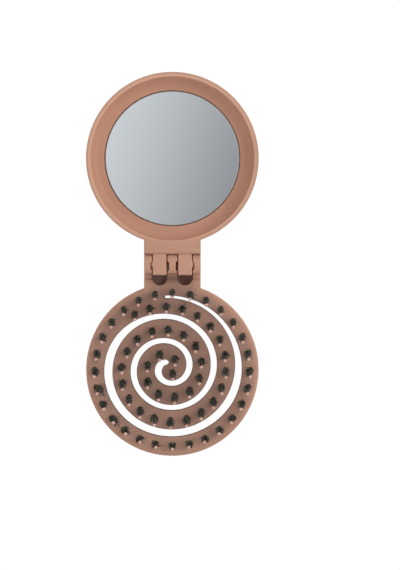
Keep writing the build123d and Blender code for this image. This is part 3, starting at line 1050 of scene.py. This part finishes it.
    @staticmethod
    def _sections(solid: Array) -> list[tuple[Array, float]]:
        """Centre and radius of a tuft's foot, root at the plate and tip."""
        heights = np.unique(np.round(solid[:, 2], 6))
        sections = []
        for height in (heights[0], heights[1], heights[-1]):
            ring = solid[np.abs(solid[:, 2] - height) < LEVEL]
            centre = (ring.min(axis=0) + ring.max(axis=0)) / 2
            sections.append((centre, float(np.linalg.norm(ring - centre, axis=1).max())))
        return sections

    def _pins(self, node: str, material: Material, rng: Random) -> Item:
        """The ball-tipped quills of one node.

        A quill's line goes from its foot to the plate's front as in the CAD solid, and from there
        straight to its ball, which hangs lower by the droop but stays within reach. The ball's
        rows stand at -cos(a) and have the radius sin(a) for even steps of a.

        Args:
            node: the CAD node whose solids are the quills.
            material: their finish.
            rng: gives the random draws.

        Returns:
            The piece.
        """
        ends = [self._pin_ends(solid) for solid in separate_solids(node)]
        feet, balls = np.array(ends).swapaxes(0, 1)
        fronts = feet + (balls - feet) * (PLATE_FRONT - feet[:, 2:]) / (balls - feet)[:, 2:]
        out = np.linalg.norm(balls[:, :2] - self._plate_centre(), axis=1, keepdims=True)
        reach = np.maximum(out, self.ball_reach)
        balls[:, :2] = self._drawn_in(self._drooped(balls[:, :2]), reach)
        length = np.linalg.norm(balls - fronts, axis=1)[:, None]
        turn = np.pi * np.linspace(*self.ball_turns, self.ball_rows)
        along = length - self.ball_radius * np.cos(turn)
        shaft = self.pin_flare * self.pin_radius, self.pin_radius
        radius = np.concatenate([shaft, self.ball_radius * np.sin(turn)])
        radius[2] = max(radius[2], self.pin_radius)
        direction = (balls - fronts) / length
        line = np.concatenate([feet[:, None], fronts[:, None],
                               fronts[:, None] + along[:, :, None] * direction[:, None]], axis=1)
        radius = np.tile(radius, (len(feet), 1))
        return self._place(node, material, line, radius, self.pin_sides, rng)

    def _pin_ends(self, solid: Array) -> tuple[Array, Array]:
        """Foot of a quill's axis, and the centre of its ball."""
        foot = solid[solid[:, 2] < solid[:, 2].min() + LEVEL].mean(axis=0)
        top = solid[solid[:, 2] > solid[:, 2].max() - 2 * self.ball_radius]
        ball = (top.min(axis=0) + top.max(axis=0)) / 2
        return foot, ball

    def _place(self, node: str, material: Material, line: Array,
               radius: Array, sides: int, rng: Random) -> Item:
        """Makes a piece of tubes, each with a random tone, that stands for a CAD node."""
        count, rows = radius.shape
        points, faces = tube_points(line, radius, sides), tube_faces(count, rows, sides)
        tones = np.repeat(rng.random(count), rows * sides)
        piece = new_object(f"{node}_dressed", points, faces, material, tones)
        return stand_in(piece, self.body, node)


@dataclass(frozen=True)
class SoftLamp:
    """A square soft lamp."""

    place: tuple[float, float, float]
    size: float
    watts: float


class Lamp(Enum):
    """The studio's lamps."""

    KEY = SoftLamp((0.55, 0.25, 0.85), 0.95, 3.9)
    FILL = SoftLamp((-0.75, -0.35, 0.9), 0.8, 1.2)


@dataclass
class Studio:
    """Floor, lamps, reflected card and camera."""

    floor_size: float = 4.0
    floor_gap: float = 0.2 * MM
    floor_colour: Colour = (0.8, 0.8, 0.8)
    floor_glow: float = 1.04
    floor_share: float = 0.95  # of the glow in what is seen
    world_strength: float = 0.53
    card_height: float = 4.3
    card_size: float = 0.5
    card_left: Colour = (0.78, 0.804, 0.823)
    card_right: Colour = (0.307, 0.317, 0.337)
    card_middle: float = 0.041  # y seen in the middle of the glass
    card_fade: float = 0.0968  # half the width of its fading
    card_slant: float = 0.36
    view_height: float = 4.0  # camera above the bristle plate's front
    frame_height: float = 0.2197  # height of the framed part of that plane
    aim: Spot = mm(10.65, -8.1)

    def build(self) -> None:
        """Builds the studio."""
        self._world()
        self._floor()
        self._card()
        for lamp in Lamp:
            self._lamp(f"{lamp.name.lower()}_lamp", lamp.value)
        self._camera()

    def _world(self) -> None:
        """An even pale surround."""
        world = bpy.data.worlds.new("studio")
        bpy.context.scene.world = world
        graph = Graph(world)
        light = {"Color": opaque(WHITE), "Strength": self.world_strength}
        background = graph.node("Background", None, light)
        graph.node("OutputWorld", None, {"Surface": background})

    def _floor(self) -> None:
        """A pale floor that reads as white and keeps a faint shadow."""
        material, graph = Graph.of_material("pale_floor")
        rays = graph.node("LightPath")
        seen = rays.value("Is Camera Ray").larger(rays.value("Is Glossy Ray"))
        seen = seen.larger(rays.value("Is Transmission Ray"))
        diffuse = graph.node("BsdfDiffuse", None, {"Color": opaque(self.floor_colour)})
        light = {"Color": opaque(WHITE), "Strength": self.floor_glow}
        glow = graph.node("Emission", None, light)
        mixed = {0: self.floor_share * seen, 1: diffuse, 2: glow}
        graph.surface(graph.node("MixShader", None, mixed))
        self._plane("floor", -self.floor_gap, self.floor_size, material, up=True)

    def _card(self) -> None:
        """A card overhead, brighter to the left, that the mirror reflects."""
        material, graph = Graph.of_material("card_glow")
        across, along, _ = graph.place((0.0, self.card_middle))
        rightward = (across - self.card_slant * along).rise(FULL, 0.0, self.card_fade)
        light = {"Color": graph.blend(rightward, self.card_left, self.card_right), "Strength": 1.0}
        graph.surface(graph.node("Emission", None, light))
        card = self._plane("card", self.card_height, self.card_size, material, up=False)
        card.visible_diffuse = card.visible_shadow = False

    @staticmethod
    def _plane(name: str, height: float, size: float, material: Material, up: bool) -> Item:
        """A square over the origin, facing up or down, as part of the stage."""
        half = size / 2
        points = np.array([(-half, -half, height), (half, -half, height),
                           (half, half, height), (-half, half, height)])
        plane = new_object(name, points, [[0, 1, 2, 3] if up else [3, 2, 1, 0]], material)
        return plane

    @staticmethod
    def _lamp(name: str, soft: SoftLamp) -> None:
        """A lamp that points at the origin."""
        lamp = added(name, bpy.data.lights.new(name, "AREA"))
        lamp.data.size = soft.size
        lamp.data.energy = soft.watts
        lamp.location = soft.place
        lamp.rotation_euler = lamp.location.to_track_quat("Z", "Y").to_euler()

    def _camera(self) -> None:
        """A long lens straight above the mirror's middle, aimed at the middle of the frame."""
        plate_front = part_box("brush_plate")[0][2] + PLATE_FRONT
        low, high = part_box("mirror_glass")
        camera = added("camera", bpy.data.cameras.new("camera"))
        camera.data.sensor_width = 36.0
        camera.data.lens = camera.data.sensor_width * self.view_height / self.frame_height
        camera.location = (0.0, (low[1] + high[1]) / 2, plate_front + self.view_height)
        back = (camera.location - Vector((*self.aim, plate_front))).normalized()
        right = Vector((0.0, 1.0, 0.0)).cross(back).normalized()
        upright = Matrix((right, back.cross(right), back)).transposed()
        camera.rotation_euler = upright.to_euler()
        camera.data.clip_start = 0.01
        bpy.context.scene.camera = camera


def main() -> None:
    """Builds the sub-assemblies and the studio in order."""
    logging.basicConfig(level=logging.INFO, format="%(name)s %(message)s")
    for assembly in (MirrorHead(), BrushHead()):
        for piece in assembly.build():
            LOG.info("%s: %s", type(assembly).__name__, piece.name)
    Studio().build()
    bpy.context.scene.view_settings.view_transform = "Standard"


if __name__ == "__main__":
    main()
